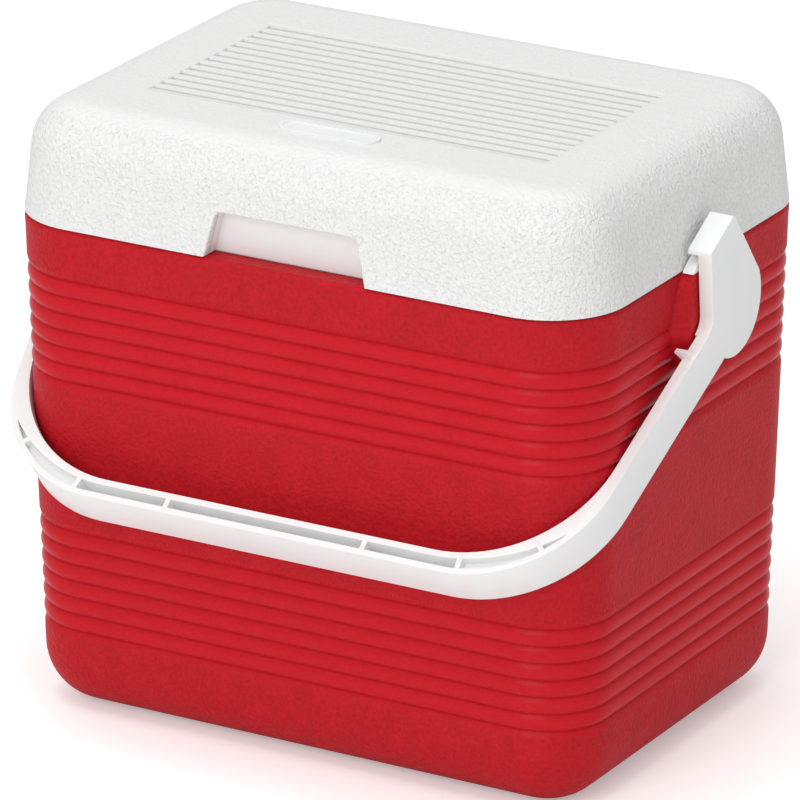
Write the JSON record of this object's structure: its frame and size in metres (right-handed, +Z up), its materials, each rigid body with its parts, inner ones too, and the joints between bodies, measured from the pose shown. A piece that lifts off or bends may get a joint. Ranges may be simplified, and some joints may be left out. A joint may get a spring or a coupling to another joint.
{
  "type": "hard ice box with bail handle",
  "caption": "Small hard-sided ice box with a ribbed body, an insulated lift-off lid with a finger notch, and a swinging bail handle.",
  "frame": {"origin": "middle of the base, on the surface that the box stands on", "axes": "+Z up, +X along the width between the two handle pivots, front (finger notch) towards -Y"},
  "size_m": [0.3594, 0.263, 0.3174],
  "materials": {
    "red_shell": "moulded, fine grain",
    "white_lid": "moulded, orange peel texture",
    "white_handle": "moulded, smooth satin",
    "white_liner": "moulded, smooth",
    "insulating_foam": "foamed in place"
  },
  "bodies": {
    "body": {"outer_shell": "red_shell", "inner_liner": "white_liner", "body_foam": "insulating_foam", "base_fill_plug": "red_shell", "pivot_lug_left": "white_handle", "pivot_lug_right": "white_handle"},
    "bail": {"bail_grip": "white_handle", "bail_arm_left": "white_handle", "bail_arm_right": "white_handle", "bail_hub_left": "white_handle", "bail_hub_right": "white_handle"},
    "lid": {"lid_cover": "white_lid", "lid_pan": "white_liner", "lid_foam": "insulating_foam", "lid_fill_plug": "white_liner", "badge": "white_handle"}
  },
  "joints": [
    {"name": "bail_swing", "type": "hinge", "parent": "body", "child": "bail", "pos_m": [0, 0, 0.2345], "axis": [-1, 0, 0], "range_deg": [0, 246]},
    {"name": "lid_lift", "type": "slide", "parent": "body", "child": "lid", "axis": [0, 0, 1], "range_m": [0, 0.12]}
  ]
}
